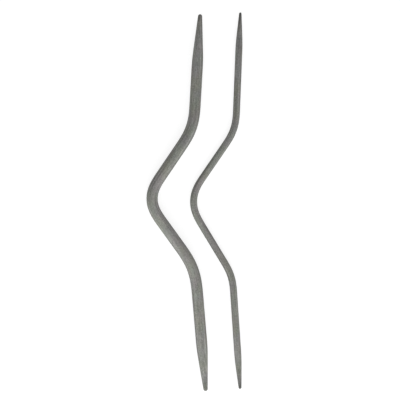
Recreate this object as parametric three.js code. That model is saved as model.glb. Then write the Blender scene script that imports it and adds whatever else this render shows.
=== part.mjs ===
// A set of two cable-stitch needles, one thick and one thin, lying side by side.
//
// Each needle is one piece: a round aluminium rod, turned to a blunt point at both ends
// and then bent in one plane. From its middle outwards it has a crook that keeps the
// waiting stitches from sliding off, a slanted straight arm, a shoulder that bends back
// by less than the crook, and a long straight end with the point on it.
//
// Millimetres. +Y runs along the needles, the crooks open towards +X and +Z is up.
// The origin is at the bottom centre of the pair's bounding box, on the surface that
// both needles lie on.

import * as THREE from "three";

// Fineness of the solids.
const SIDES = 16; // flats round the rod; a multiple of 4, so that it lies on a true flat
const STATION_STEP = 2.0; // distance between cross-sections
const NOSE_STEPS = 3; // cross-sections round each blunt nose
const WALK_STEP = 0.1; // stride used to follow the bent centreline

// Half the length over which the cone of a point eases into the full gauge.
const EASING = 3.1;

// Place of the small needle's crook, from the large needle's crook.
const SMALL_TO_THE_RIGHT = 14.73;
const SMALL_FURTHER_ALONG = -0.63;

// Lengths in mm, angles in degrees. upper is the half towards +Y, lower the half towards -Y.
// clockwise is how far the needle is turned, seen from above. nose is the radius of the
// blunt point, and taper the distance from the point to where the cone meets the full gauge.
const LARGE = {
  name: "large_needle",
  gauge: 4.0,
  clockwise: -0.85,
  crook: { length: 16.9, angle: 70.0 },
  upper: { arm: 12.95, shoulder: { length: 16.0, angle: 30.9 }, end: 32.15, taper: 16.0, nose: 0.75 },
  lower: { arm: 11.4, shoulder: { length: 18.4, angle: 31.0 }, end: 34.25, taper: 15.15, nose: 0.78 },
};
const SMALL = {
  name: "small_needle",
  gauge: 2.5,
  clockwise: 1.65,
  crook: { length: 18.6, angle: 65.6 },
  upper: { arm: 13.3, shoulder: { length: 13.8, angle: 32.2 }, end: 34.55, taper: 11.1, nose: 0.43 },
  lower: { arm: 14.8, shoulder: { length: 12.2, angle: 27.3 }, end: 33.95, taper: 10.7, nose: 0.52 },
};

// Satin grey coating on aluminium.
const GREY_COATING = { color: 0x7d7c76, roughness: 0.5, metalness: 0.55 };

// A turn that starts and ends gently: 0 before the bend, 1 after it.
function ease(fraction) {
  const t = THREE.MathUtils.clamp(fraction, 0, 1);
  return t * t * (3 - 2 * t);
}

// Length of one half, measured along the rod from the middle of the crook to the point.
function halfLength(needle, half) {
  return needle.crook.length / 2 + half.arm + half.shoulder.length + half.end;
}

// Heading of one half, in degrees towards +X, at a distance from the middle of the crook.
function halfHeading(needle, half, distance) {
  const { crook } = needle;
  const crookTurn = crook.angle * (ease(distance / crook.length + 0.5) - 0.5);
  const pastArm = distance - crook.length / 2 - half.arm;
  return crookTurn - half.shoulder.angle * ease(pastArm / half.shoulder.length);
}

// Heading of the whole rod, in radians clockwise from +Y. along is 0 at the middle of the
// crook, positive towards the upper point and negative towards the lower one.
function heading(needle, along) {
  const degrees = along < 0
    ? -halfHeading(needle, needle.lower, -along)
    : halfHeading(needle, needle.upper, along);
  return THREE.MathUtils.degToRad(degrees + needle.clockwise);
}

// Point of the centreline, seen from above, with the middle of the crook at (0, 0).
function centre(needle, along) {
  const strides = Math.max(1, Math.ceil(Math.abs(along) / WALK_STEP));
  const stride = along / strides;
  const point = new THREE.Vector2();
  for (let i = 0; i < strides; i += 1) {
    const angle = heading(needle, (i + 0.5) * stride);
    point.x += Math.sin(angle) * stride;
    point.y += Math.cos(angle) * stride;
  }
  return point;
}

// Radius of the rod at a distance from one of its ends: a cone that grows from the nose
// and eases into the full gauge.
function radius(needle, half, fromEnd) {
  const full = needle.gauge / 2;
  const slope = (full - half.nose) / (half.taper - half.nose);
  const beforeFull = half.taper + EASING - fromEnd;
  if (beforeFull <= 0) return full;
  if (beforeFull < 2 * EASING) return full - (slope * beforeFull ** 2) / (4 * EASING);
  return full - slope * (half.taper - fromEnd);
}

// Profile of one half as (radius, distance along the rod), from its point inwards.
function halfProfile(needle, half) {
  const length = halfLength(needle, half);
  const { nose } = half;
  const points = [];
  for (let i = 0; i < NOSE_STEPS; i += 1) {
    const angle = (i / NOSE_STEPS) * (Math.PI / 2);
    points.push(new THREE.Vector2(nose * Math.sin(angle), length - nose * (1 - Math.cos(angle))));
  }
  const stations = Math.round((length - nose) / STATION_STEP);
  for (let i = 0; i < stations; i += 1) {
    const fromEnd = nose + ((length - nose) * i) / stations;
    points.push(new THREE.Vector2(radius(needle, half, fromEnd), length - fromEnd));
  }
  return points;
}

// The straight rod with both points turned on it. Its flats are the gauge apart.
function turnedRod(needle) {
  const lower = halfProfile(needle, needle.lower).map((p) => new THREE.Vector2(p.x, -p.y));
  const middle = new THREE.Vector2(needle.gauge / 2, 0);
  const upper = halfProfile(needle, needle.upper).reverse();
  const cornerScale = 1 / Math.cos(Math.PI / SIDES);
  const profile = [...lower, middle, ...upper].map((p) => new THREE.Vector2(p.x * cornerScale, p.y));
  return new THREE.LatheGeometry(profile, SIDES, Math.PI / SIDES);
}

// Bends the rod in the horizontal plane and lifts it until it lies on z = 0.
function bend(rod, needle) {
  const position = rod.getAttribute("position");
  for (let i = 0; i < position.count; i += 1) {
    const along = position.getY(i);
    const sideways = position.getX(i);
    const middle = centre(needle, along);
    const angle = heading(needle, along);
    position.setXYZ(
      i,
      middle.x + sideways * Math.cos(angle),
      middle.y - sideways * Math.sin(angle),
      position.getZ(i) + needle.gauge / 2,
    );
  }
  rod.computeVertexNormals();
  return rod;
}

function makeNeedle(needle) {
  const mesh = new THREE.Mesh(
    bend(turnedRod(needle), needle),
    new THREE.MeshStandardMaterial(GREY_COATING),
  );
  mesh.name = needle.name;
  return mesh;
}

const largeNeedle = makeNeedle(LARGE);
const smallNeedle = makeNeedle(SMALL);
smallNeedle.position.set(SMALL_TO_THE_RIGHT, SMALL_FURTHER_ALONG, 0);

const needleSet = new THREE.Group();
needleSet.add(largeNeedle, smallNeedle);

// The origin goes to the bottom centre of the pair.
const box = new THREE.Box3().setFromObject(needleSet);
const boxCentre = box.getCenter(new THREE.Vector3());
needleSet.position.set(-boxCentre.x, -boxCentre.y, 0);

export default needleSet;
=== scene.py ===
"""The looks of a pair of cable-stitch needles, one thick and one thin.

Each needle is a round rod, turned to a blunt point at both ends and bent in one plane.
Its CAD solid is replaced by a finely lofted rod on the same centreline, with the section
that a bend gives a round bar, and with a satin grey coating made of procedural nodes.
"""

import math
from collections import namedtuple

import bpy
import numpy as np
from mathutils import Matrix, Vector


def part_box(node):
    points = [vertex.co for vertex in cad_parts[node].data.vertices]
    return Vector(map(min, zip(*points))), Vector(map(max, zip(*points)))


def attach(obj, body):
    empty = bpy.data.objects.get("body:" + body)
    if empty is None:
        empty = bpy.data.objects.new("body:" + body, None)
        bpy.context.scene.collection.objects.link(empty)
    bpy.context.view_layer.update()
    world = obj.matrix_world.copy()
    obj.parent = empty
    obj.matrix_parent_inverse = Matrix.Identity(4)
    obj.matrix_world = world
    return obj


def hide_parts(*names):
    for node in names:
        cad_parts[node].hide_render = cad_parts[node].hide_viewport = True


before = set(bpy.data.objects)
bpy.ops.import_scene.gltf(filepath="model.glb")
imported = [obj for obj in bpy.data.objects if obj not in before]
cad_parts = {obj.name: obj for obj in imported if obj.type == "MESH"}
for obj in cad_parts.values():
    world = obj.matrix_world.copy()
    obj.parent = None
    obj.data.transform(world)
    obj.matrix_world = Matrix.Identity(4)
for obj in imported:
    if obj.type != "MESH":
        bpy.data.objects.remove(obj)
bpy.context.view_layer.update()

MM = 0.001  # the frame is in metres, and the needles are worked out in millimetres


# ---------------------------------------------------------------------------- dimensions

# Lengths are in mm, and angles are in degrees.

# One half of a needle, from the crook outwards: the straight arm, the shoulder's length
# and angle, the end with the point on it, the distance from the point to where its cone
# would meet the full gauge, the radius of the blunt nose, and the painted light and shade
# on its coating, as how pale the coating is made.
Half = namedtuple("Half", "arm shoulder shoulder_angle end taper nose tone")

# clockwise is how far the needle is turned, seen from above. crook and crook_angle are the
# length and the angle of the bend in the middle.
Needle = namedtuple("Needle", "name gauge clockwise crook crook_angle upper lower")

# The paleness given for each half is painted light on the lower halves and painted shade on the
# upper halves.
LARGE = Needle(
    name="large_needle", gauge=4.0, clockwise=-0.85, crook=16.9, crook_angle=70.0,
    upper=Half(
        arm=12.95, shoulder=16.0, shoulder_angle=30.9,
        end=32.15, taper=16.0, nose=0.75, tone=0.955,
    ),
    lower=Half(
        arm=11.4, shoulder=18.4, shoulder_angle=31.0,
        end=34.25, taper=15.15, nose=0.78, tone=1.075,
    ),
)
SMALL = Needle(
    name="small_needle", gauge=2.5, clockwise=1.65, crook=18.6, crook_angle=65.6,
    upper=Half(
        arm=13.3, shoulder=13.8, shoulder_angle=32.2,
        end=34.55, taper=11.1, nose=0.43, tone=0.965,
    ),
    lower=Half(
        arm=14.8, shoulder=12.2, shoulder_angle=27.3,
        end=33.95, taper=10.7, nose=0.52, tone=1.045,
    ),
)
EASING = 3.1  # half the length over which a point's cone eases into the full gauge
POISSON = 0.33  # how much a bend swells the rod's inner side and thins its outer side

# Fineness of the lofted rods.
SIDES = 64
STATION_STEP = 0.2  # mm between cross-sections
NOSE_STEPS = 10  # cross-sections in each nose

# The map that the coating can be baked on.
ATLAS_NAME = "OFBake"
ATLAS_STRIPS = 4
ATLAS_MARGIN = 0.01  # share of a strip that is left free on each of its sides

# What the mesh tells the coating about each vertex.
STRAIGHT_PLACE = "straight_place"  # mm across, along and up, on the rod before it was bent
LOCAL_RADIUS = "local_radius"  # mm
PAINTED_HALF_LIGHT = "painted_half_light"  # painted light and shade on each half: 1 is the middle grey, and more is paler

# Coating: a pattern's size across, along and up the straight rod in mm, how many finer
# layers its noise has, and the tones that it multiplies the grey by.
Pattern = namedtuple("Pattern", "size detail tones")
STREAKS = Pattern(size=(0.35, 16.0, 0.35), detail=2, tones=(0.58, 1.42))
DRAW_LINES = Pattern(size=(0.1, 5.0, 0.1), detail=1, tones=(0.86, 1.14))
GRAIN = Pattern(size=(0.3, 0.45, 0.3), detail=2, tones=(0.56, 1.44))
MOTTLING = Pattern(size=(4.0, 8.0, 4.0), detail=2, tones=(0.95, 1.05))
NOISE_RANGE = (0.2, 0.8)  # where nearly all of a noise's values lie
UNIT_RANGE = (0.0, 1.0)

TINT_SIZE = (3.0, 5.0, 3.0)
OLIVE_GREY = (0.243, 0.248, 0.213, 1.0)
PLUM_GREY = (0.246, 0.238, 0.231, 1.0)
WARMTH_SIZE = (2.5, 7.0, 2.5)
COOL_CAST = (0.97, 1.015, 1.015, 1.0)
WARM_CAST = (1.015, 0.995, 0.99, 1.0)
PATCH_DETAIL = 1
PATCH_EDGE = (0.35, 0.65)  # the part of the noise over which one colour fades to the other

HAIRLINE_SPACING = (1.6, 14.0, 1.6)
HAIRLINE_WIDTH = 0.025  # as a share of their spacing
BREAK_SIZE = (1.0, 4.0, 1.0)
BREAK_DETAIL = 1
BREAK_EDGE = (0.5, 0.6)  # the part of the noise over which a scratch comes in
SCRATCH_TONE = 1.5
SCRATCH_ROUGHNESS = -0.1  # added to the coating's own
SCRATCH_RELIEF = -1.0

POINT_SHADE_AND_WEAR_RADII = (0.45, 2.0)  # mm, from full painted shade and wear at the points to none
POINT_SHADE_AND_WEAR_FALL = 3.4  # how fast the painted shade and wear fade as the rod thickens
# painted shade: how dark the points' coating is made
POINT_PAINTED_SHADE = 0.3
RUBBED_ROUGHNESS = -0.08  # added to the coating's own

ROUGHNESS = (0.36, 0.5)
METALLIC = 0.15
SPECULAR = 0.65
RELIEF_HEIGHT = 0.008  # mm

# Studio: a glowing floor and wall, an even glow from the room, and four softboxes. Azimuths
# run from -Y towards +X. Angles are in degrees, lengths in metres and powers in watts.
Softbox = namedtuple("Softbox", "name azimuth elevation distance width height power")
SOFTBOXES = (
    Softbox("front_softbox", 0, 30, 0.45, 0.4, 0.16, 1.4),
    Softbox("left_softbox", -60, 12, 0.45, 0.4, 0.16, 0.37),
    Softbox("right_softbox", 60, 12, 0.45, 0.4, 0.16, 0.4),
    Softbox("back_softbox", 135, 30, 0.45, 0.4, 0.16, 0.22),
)
ROOM_GLOW = 0.403
STUDIO_RADIUS = 1.5
STUDIO_HEIGHT = 1.5
STUDIO_SIDES = 96
STUDIO_WHITE = (0.3, 0.3, 0.3, 1.0)  # with the glow it comes out white
STUDIO_ROUGHNESS = 0.9
STUDIO_GLOW = 0.82
WHITE_LIGHT = (1.0, 1.0, 1.0, 1.0)
FLOOR_GAP = 0.05  # mm that the floor lies below the needles

# Camera, straight above, looking down with +Y up in the picture.
LENS = 150.0  # mm
SENSOR = 36.0  # mm
NEAREST_SEEN = 0.01  # m
VIEW_WIDTH = 141.8  # mm across the picture at the view height
VIEW_CENTRE = (1.965, 0.55)  # mm
VIEW_HEIGHT = 1.5  # mm above the surface that the needles lie on


# ------------------------------------------------------------------------- the bent rod

def ease(fraction):
    """A turn that starts and ends gently: 0 before the bend, 1 after it."""
    t = np.clip(fraction, 0.0, 1.0)
    return t * t * (3.0 - 2.0 * t)


def half_length(needle, half):
    """Length from the middle of the crook to one point."""
    return needle.crook / 2 + half.arm + half.shoulder + half.end


def half_heading(needle, half, distance):
    """Heading in degrees towards +X, at a distance from the middle of the crook."""
    crook_turn = needle.crook_angle * (ease(distance / needle.crook + 0.5) - 0.5)
    past_arm = distance - needle.crook / 2 - half.arm
    return crook_turn - half.shoulder_angle * ease(past_arm / half.shoulder)


def heading(needle, along):
    """Heading in radians clockwise from +Y, where along is 0 at the middle of the crook."""
    upper = half_heading(needle, needle.upper, along)
    lower = -half_heading(needle, needle.lower, -along)
    return np.radians(np.where(along < 0, lower, upper) + needle.clockwise)


def centreline(needle, along):
    """Points of the centreline seen from above, with the middle of the crook at (0, 0)."""
    steps = np.diff(along)
    middles = heading(needle, along[:-1] + steps / 2)
    x = np.concatenate([[0.0], np.cumsum(np.sin(middles) * steps)])
    y = np.concatenate([[0.0], np.cumsum(np.cos(middles) * steps)])
    return x - np.interp(0.0, along, x), y - np.interp(0.0, along, y)


def half_radius(needle, half, from_point):
    """Radius at a distance from one point: a nose, a cone, and an easing into the gauge."""
    full = needle.gauge / 2
    slope = (full - half.nose) / (half.taper - half.nose)
    before_full = half.taper + EASING - from_point
    cone = full - slope * (half.taper - from_point)
    eased = full - slope * before_full**2 / (4 * EASING)
    body = np.where(before_full > 2 * EASING, cone, np.where(before_full > 0, eased, full))
    in_nose = np.clip(half.nose - from_point, 0.0, half.nose)
    return np.where(in_nose > 0, np.sqrt(half.nose**2 - in_nose**2), body)


def from_points(needle, along):
    """Distances from the upper point and from the lower point."""
    upper = half_length(needle, needle.upper) - along
    lower = half_length(needle, needle.lower) + along
    return upper, lower


def radius(needle, along):
    """Radius of the rod, where along is 0 at the middle of the crook."""
    from_upper, from_lower = from_points(needle, along)
    upper = half_radius(needle, needle.upper, from_upper)
    lower = half_radius(needle, needle.lower, from_lower)
    return np.where(along < 0, lower, upper)


def painted_half_light(needle, along):
    """Painted light on the lower half and painted shade on the upper half, as paleness.
    It changes from one half's value to the other's at the crook.
    """
    upper_share = ease(along / needle.crook + 0.5)
    return needle.lower.tone + (needle.upper.tone - needle.lower.tone) * upper_share


def half_stations(needle, half):
    """Distances of the cross-sections from the middle of the crook, close in the nose."""
    nose_start = half_length(needle, half) - half.nose
    shank = np.linspace(0.0, nose_start, round(nose_start / STATION_STEP))
    angles = np.linspace(0.0, math.pi / 2, NOSE_STEPS + 1)[1:]
    return np.concatenate([shank, nose_start + half.nose * np.sin(angles)])


def stations(needle):
    """Distances of all the cross-sections, from the lower point to the upper one."""
    lower = half_stations(needle, needle.lower)
    upper = half_stations(needle, needle.upper)
    return np.concatenate([-lower[::-1], upper[1:]])


def lofted_rod(needle, along):
    """Rings of the bent rod, and the same rings on the straight rod before it was bent."""
    turn = heading(needle, along)
    swell = POISSON * np.gradient(turn, along)[:, None]
    x, y = centreline(needle, along)
    size = radius(needle, along)
    angle = np.linspace(0.0, 2 * math.pi, SIDES, endpoint=False)
    across = np.outer(size, np.cos(angle))
    up = np.outer(size, np.sin(angle))
    bent_across = across + swell * (across**2 - up**2) / 2
    bent_up = up * (1 + swell * across)
    bent = np.stack([
        x[:, None] + bent_across * np.cos(turn)[:, None],
        y[:, None] - bent_across * np.sin(turn)[:, None],
        needle.gauge / 2 + bent_up,
    ], axis=-1)
    straight = np.stack([across, np.broadcast_to(along[:, None], across.shape), up], axis=-1)
    return bent, straight


def closed_at_points(rings):
    """Vertices of the rings in one list, where the first and last rings are one vertex each."""
    return np.concatenate([rings[0, :1], rings[1:-1].reshape(-1, 3), rings[-1, :1]])


def rod_faces(rings):
    """Faces as their corners' (ring, side) places; a point lies halfway between two sides."""
    faces = []
    last = rings - 1
    for side in range(SIDES):
        faces.append([(0, side + 0.5), (1, side), (1, side + 1)])
        for ring in range(1, last - 1):
            faces.append([(ring, side + 1), (ring, side), (ring + 1, side), (ring + 1, side + 1)])
        faces.append([(last, side + 0.5), (last - 1, side + 1), (last - 1, side)])
    return faces


def vertex_at(ring, side, rings):
    """The vertex at a place, in the order that closed_at_points gives."""
    if ring == 0:
        return 0
    if ring == rings - 1:
        return 1 + (rings - 2) * SIDES
    return 1 + (ring - 1) * SIDES + side % SIDES


def atlas_places(faces, rings):
    """Each corner's place on a map. The rod is cut crosswise into strips, laid side by side."""
    strip_length = math.ceil((rings - 1) / ATLAS_STRIPS)
    places = []
    for face in faces:
        strip = min(ring for ring, side in face) // strip_length
        for ring, side in face:
            along = ring / strip_length - strip
            around = side / SIDES
            inset = [ATLAS_MARGIN + (1 - 2 * ATLAS_MARGIN) * share for share in (along, around)]
            places.append((inset[0], (strip + inset[1]) / ATLAS_STRIPS))
    return places


def tell_coating(mesh, name, values):
    """Gives each vertex a number that the coating reads by this name."""
    numbers = mesh.attributes.new(name, "FLOAT", "POINT")
    numbers.data.foreach_set("value", values.astype(np.float32))


def make_rod(needle):
    """The needle's mesh, which tells the coating about each vertex."""
    along = stations(needle)
    bent, straight = lofted_rod(needle, along)
    rings = len(along)
    vertices = closed_at_points(bent)
    straight = closed_at_points(straight)
    faces = rod_faces(rings)
    mesh = bpy.data.meshes.new(needle.name + "_rod")
    corners = [[vertex_at(ring, side, rings) for ring, side in face] for face in faces]
    mesh.from_pydata((vertices * MM).tolist(), [], corners)
    mesh.shade_smooth()

    places = mesh.attributes.new(STRAIGHT_PLACE, "FLOAT_VECTOR", "POINT")
    places.data.foreach_set("vector", straight.astype(np.float32).ravel())
    tell_coating(mesh, LOCAL_RADIUS, radius(needle, straight[:, 1]))
    # painted light on the lower half and painted shade on the upper half
    tell_coating(mesh, PAINTED_HALF_LIGHT, painted_half_light(needle, straight[:, 1]))
    atlas = mesh.uv_layers.new(name=ATLAS_NAME)
    atlas.uv.foreach_set("vector", np.ravel(atlas_places(faces, rings)).astype(np.float32))

    rod = bpy.data.objects.new(mesh.name, mesh)
    bpy.context.scene.collection.objects.link(rod)
    return rod


def lay_on_node(rod, node):
    """Moves the rod's mesh sideways to where its CAD node is."""
    low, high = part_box(node)
    corners = [vertex.co for vertex in rod.data.vertices]
    own_low = Vector(np.min(corners, axis=0))
    own_high = Vector(np.max(corners, axis=0))
    shift = (low + high - own_low - own_high) / 2
    rod.data.transform(Matrix.Translation((shift.x, shift.y, 0)))


def make_needle(needle, coating):
    """A rod that stands for the needle's CAD node and moves with its body."""
    rod = make_rod(needle)
    lay_on_node(rod, needle.name)
    rod.data.materials.append(coating)
    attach(rod, needle.name)
    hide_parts(needle.name)


# ------------------------------------------------------------------------ grey coating

def add(tree, kind, inputs, **settings):
    """Adds a node. Each input is given a value, or the output that feeds it."""
    node = tree.nodes.new(kind)
    for name, value in settings.items():
        setattr(node, name, value)
    for name, value in inputs.items():
        if isinstance(value, bpy.types.NodeSocket):
            tree.links.new(value, node.inputs[name])
        else:
            node.inputs[name].default_value = value
    return node


def in_units(tree, place, size):
    """place counted in units of this size in mm."""
    per_mm = [1 / length for length in size]
    scaled = add(tree, "ShaderNodeVectorMath", {0: place, 1: per_mm}, operation="MULTIPLY")
    return scaled.outputs["Vector"]


def noise(tree, place, size, detail):
    """Noise from 0 to 1 whose patches have about this size in mm on the straight rod."""
    return add(tree, "ShaderNodeTexNoise", {
        "Vector": in_units(tree, place, size), "Scale": 1.0, "Detail": detail,
    }).outputs["Fac"]


def ranged(tree, value, before, after):
    """value with the range before turned into the range after."""
    return add(tree, "ShaderNodeMapRange", {
        "Value": value,
        "From Min": before[0], "From Max": before[1],
        "To Min": after[0], "To Max": after[1],
    }).outputs["Result"]


def combined(tree, operation, *values):
    """The values joined by one operation, from the first to the last."""
    total = values[0]
    for value in values[1:]:
        total = add(tree, "ShaderNodeMath", {0: total, 1: value}, operation=operation).outputs[0]
    return total


def patches(tree, place, size, first, second):
    """Two colours in soft patches of about this size."""
    clouds = noise(tree, place, size, PATCH_DETAIL)
    return add(tree, "ShaderNodeMix", {
        "Factor": ranged(tree, clouds, PATCH_EDGE, UNIT_RANGE),
        "A": first, "B": second,
    }, data_type="RGBA").outputs["Result"]


def hairlines(tree, place):
    """1 on fine broken scratches that run mostly along the rod, and 0 elsewhere."""
    cells = add(tree, "ShaderNodeTexVoronoi", {
        "Vector": in_units(tree, place, HAIRLINE_SPACING), "Scale": 1.0,
    }, feature="DISTANCE_TO_EDGE")
    lines = ranged(tree, cells.outputs["Distance"], (0.0, HAIRLINE_WIDTH), (1.0, 0.0))
    clouds = noise(tree, place, BREAK_SIZE, BREAK_DETAIL)
    breaks = ranged(tree, clouds, BREAK_EDGE, UNIT_RANGE)
    return combined(tree, "MULTIPLY", lines, breaks)


def told(tree, name, output):
    """What the mesh tells the coating by this name."""
    return add(tree, "ShaderNodeAttribute", {}, attribute_name=name).outputs[output]


def tones_and_painted_light(tree, noises, scratches, point_shade_and_wear):
    """How pale the coating is: each half's painted light and shade, times the patterns,
    the scratches and the painted shade at the points.
    """
    patterns = [
        ranged(tree, value, NOISE_RANGE, pattern.tones)
        for pattern, value in noises.items()
    ]
    return combined(
        tree, "MULTIPLY",
        # painted light and shade of each half
        told(tree, PAINTED_HALF_LIGHT, "Fac"),
        *patterns,
        ranged(tree, scratches, UNIT_RANGE, (1.0, SCRATCH_TONE)),
        # painted shade at the points
        ranged(tree, point_shade_and_wear, UNIT_RANGE, (1.0, POINT_PAINTED_SHADE)),
    )


def coating_colour(tree, place, tone):
    """Grey in olive and plum patches, with cooler and warmer ones over it, at this tone."""
    grey = patches(tree, place, TINT_SIZE, OLIVE_GREY, PLUM_GREY)
    cast = patches(tree, place, WARMTH_SIZE, COOL_CAST, WARM_CAST)
    tinted = add(tree, "ShaderNodeVectorMath", {0: grey, 1: cast}, operation="MULTIPLY")
    return add(tree, "ShaderNodeVectorMath", {
        0: tinted.outputs["Vector"], "Scale": tone,
    }, operation="SCALE").outputs["Vector"]


def coating_roughness(tree, draw_lines, scratches, point_shade_and_wear):
    return combined(
        tree, "ADD",
        ranged(tree, draw_lines, NOISE_RANGE, ROUGHNESS),
        ranged(tree, scratches, UNIT_RANGE, (0.0, SCRATCH_ROUGHNESS)),
        ranged(tree, point_shade_and_wear, UNIT_RANGE, (0.0, RUBBED_ROUGHNESS)),
    )


def coating_normal(tree, noises, scratches):
    """Fine relief of the streaks, draw lines and grain, with the scratches cut into it."""
    relief = combined(
        tree, "ADD",
        noises[STREAKS], noises[DRAW_LINES], noises[GRAIN],
        ranged(tree, scratches, UNIT_RANGE, (0.0, SCRATCH_RELIEF)),
    )
    bump = add(tree, "ShaderNodeBump", {"Height": relief, "Distance": RELIEF_HEIGHT * MM})
    return bump.outputs["Normal"]


def grey_coating():
    """Satin grey coating on drawn metal: streaks along the rod, grain, faint mottling,
    hairline scratches, painted light and shade on each half, and points that are painted
    darker as shade and worn smoother by the stitches."""
    material = bpy.data.materials.new("satin_grey_coating")
    material.use_nodes = True
    tree = material.node_tree
    place = told(tree, STRAIGHT_PLACE, "Vector")
    noises = {
        pattern: noise(tree, place, pattern.size, pattern.detail)
        for pattern in (STREAKS, DRAW_LINES, GRAIN, MOTTLING)
    }
    scratches = hairlines(tree, place)
    # thin points get painted shade in the colour and wear in the roughness
    thinness = ranged(tree, told(tree, LOCAL_RADIUS, "Fac"), POINT_SHADE_AND_WEAR_RADII, (1.0, 0.0))
    point_shade_and_wear = combined(tree, "POWER", thinness, POINT_SHADE_AND_WEAR_FALL)
    tone = tones_and_painted_light(tree, noises, scratches, point_shade_and_wear)

    shader = tree.nodes["Principled BSDF"]
    feeds = {
        "Base Color": coating_colour(tree, place, tone),
        "Roughness": coating_roughness(tree, noises[DRAW_LINES], scratches, point_shade_and_wear),
        "Normal": coating_normal(tree, noises, scratches),
    }
    for name, output in feeds.items():
        tree.links.new(output, shader.inputs[name])
    shader.inputs["Metallic"].default_value = METALLIC
    shader.inputs["Specular IOR Level"].default_value = SPECULAR
    return material


# ------------------------------------------------------------------------------ studio

def white_surface():
    """A matt white that glows, so that the floor and the wall come out even and pale."""
    material = bpy.data.materials.new("studio_white")
    material.use_nodes = True
    shader = material.node_tree.nodes["Principled BSDF"]
    shader.inputs["Base Color"].default_value = STUDIO_WHITE
    shader.inputs["Roughness"].default_value = STUDIO_ROUGHNESS
    shader.inputs["Emission Color"].default_value = WHITE_LIGHT
    shader.inputs["Emission Strength"].default_value = STUDIO_GLOW
    return material


def stage_piece(name, corners, faces, material):
    """A piece of the studio that the camera sees, but that throws no light on the needles."""
    mesh = bpy.data.meshes.new(name)
    mesh.from_pydata(corners, [], faces)
    mesh.materials.append(material)
    piece = bpy.data.objects.new(name, mesh)
    bpy.context.scene.collection.objects.link(piece)
    piece.visible_diffuse = False
    piece.visible_glossy = False


def make_studio():
    """A round white floor with a white wall round it."""
    material = white_surface()
    level = -FLOOR_GAP * MM
    turns = [2 * math.pi * side / STUDIO_SIDES for side in range(STUDIO_SIDES)]
    ring = [(STUDIO_RADIUS * math.cos(turn), STUDIO_RADIUS * math.sin(turn)) for turn in turns]
    low = [(x, y, level) for x, y in ring]
    high = [(x, y, STUDIO_HEIGHT) for x, y in ring]
    stage_piece("floor", low, [range(STUDIO_SIDES)], material)
    panels = []
    for side in range(STUDIO_SIDES):
        following = (side + 1) % STUDIO_SIDES
        panels.append((side, following, following + STUDIO_SIDES, side + STUDIO_SIDES))
    stage_piece("wall", low + high, panels, material)


def make_softbox(box):
    """A soft light that faces the needles, and that the camera doesn't see."""
    light = bpy.data.lights.new(box.name, "AREA")
    light.shape = "RECTANGLE"
    light.size = box.width
    light.size_y = box.height
    light.energy = box.power
    softbox = bpy.data.objects.new(box.name, light)
    bpy.context.scene.collection.objects.link(softbox)
    azimuth, elevation = math.radians(box.azimuth), math.radians(box.elevation)
    level = math.cos(elevation)
    direction = Vector((level * math.sin(azimuth), -level * math.cos(azimuth), math.sin(elevation)))
    softbox.location = direction * box.distance
    softbox.rotation_euler = (-direction).to_track_quat("-Z", "Y").to_euler()
    softbox.visible_camera = False


def light_room():
    """An even glow from all sides."""
    world = bpy.data.worlds.new("room")
    world.use_nodes = True
    background = world.node_tree.nodes["Background"]
    background.inputs["Color"].default_value = WHITE_LIGHT
    background.inputs["Strength"].default_value = ROOM_GLOW
    bpy.context.scene.world = world


def make_camera():
    """A camera straight above that sees the view width at the view height."""
    camera_data = bpy.data.cameras.new("camera")
    camera_data.lens = LENS
    camera_data.sensor_width = SENSOR
    camera_data.clip_start = NEAREST_SEEN
    camera = bpy.data.objects.new("camera", camera_data)
    bpy.context.scene.collection.objects.link(camera)
    height = VIEW_HEIGHT + VIEW_WIDTH * LENS / SENSOR
    camera.location = Vector((*VIEW_CENTRE, height)) * MM
    bpy.context.scene.camera = camera


make_camera()
make_studio()
light_room()
for softbox in SOFTBOXES:
    make_softbox(softbox)
bpy.context.scene.view_settings.view_transform = "Standard"

coating = grey_coating()
for needle in (LARGE, SMALL):
    make_needle(needle, coating)
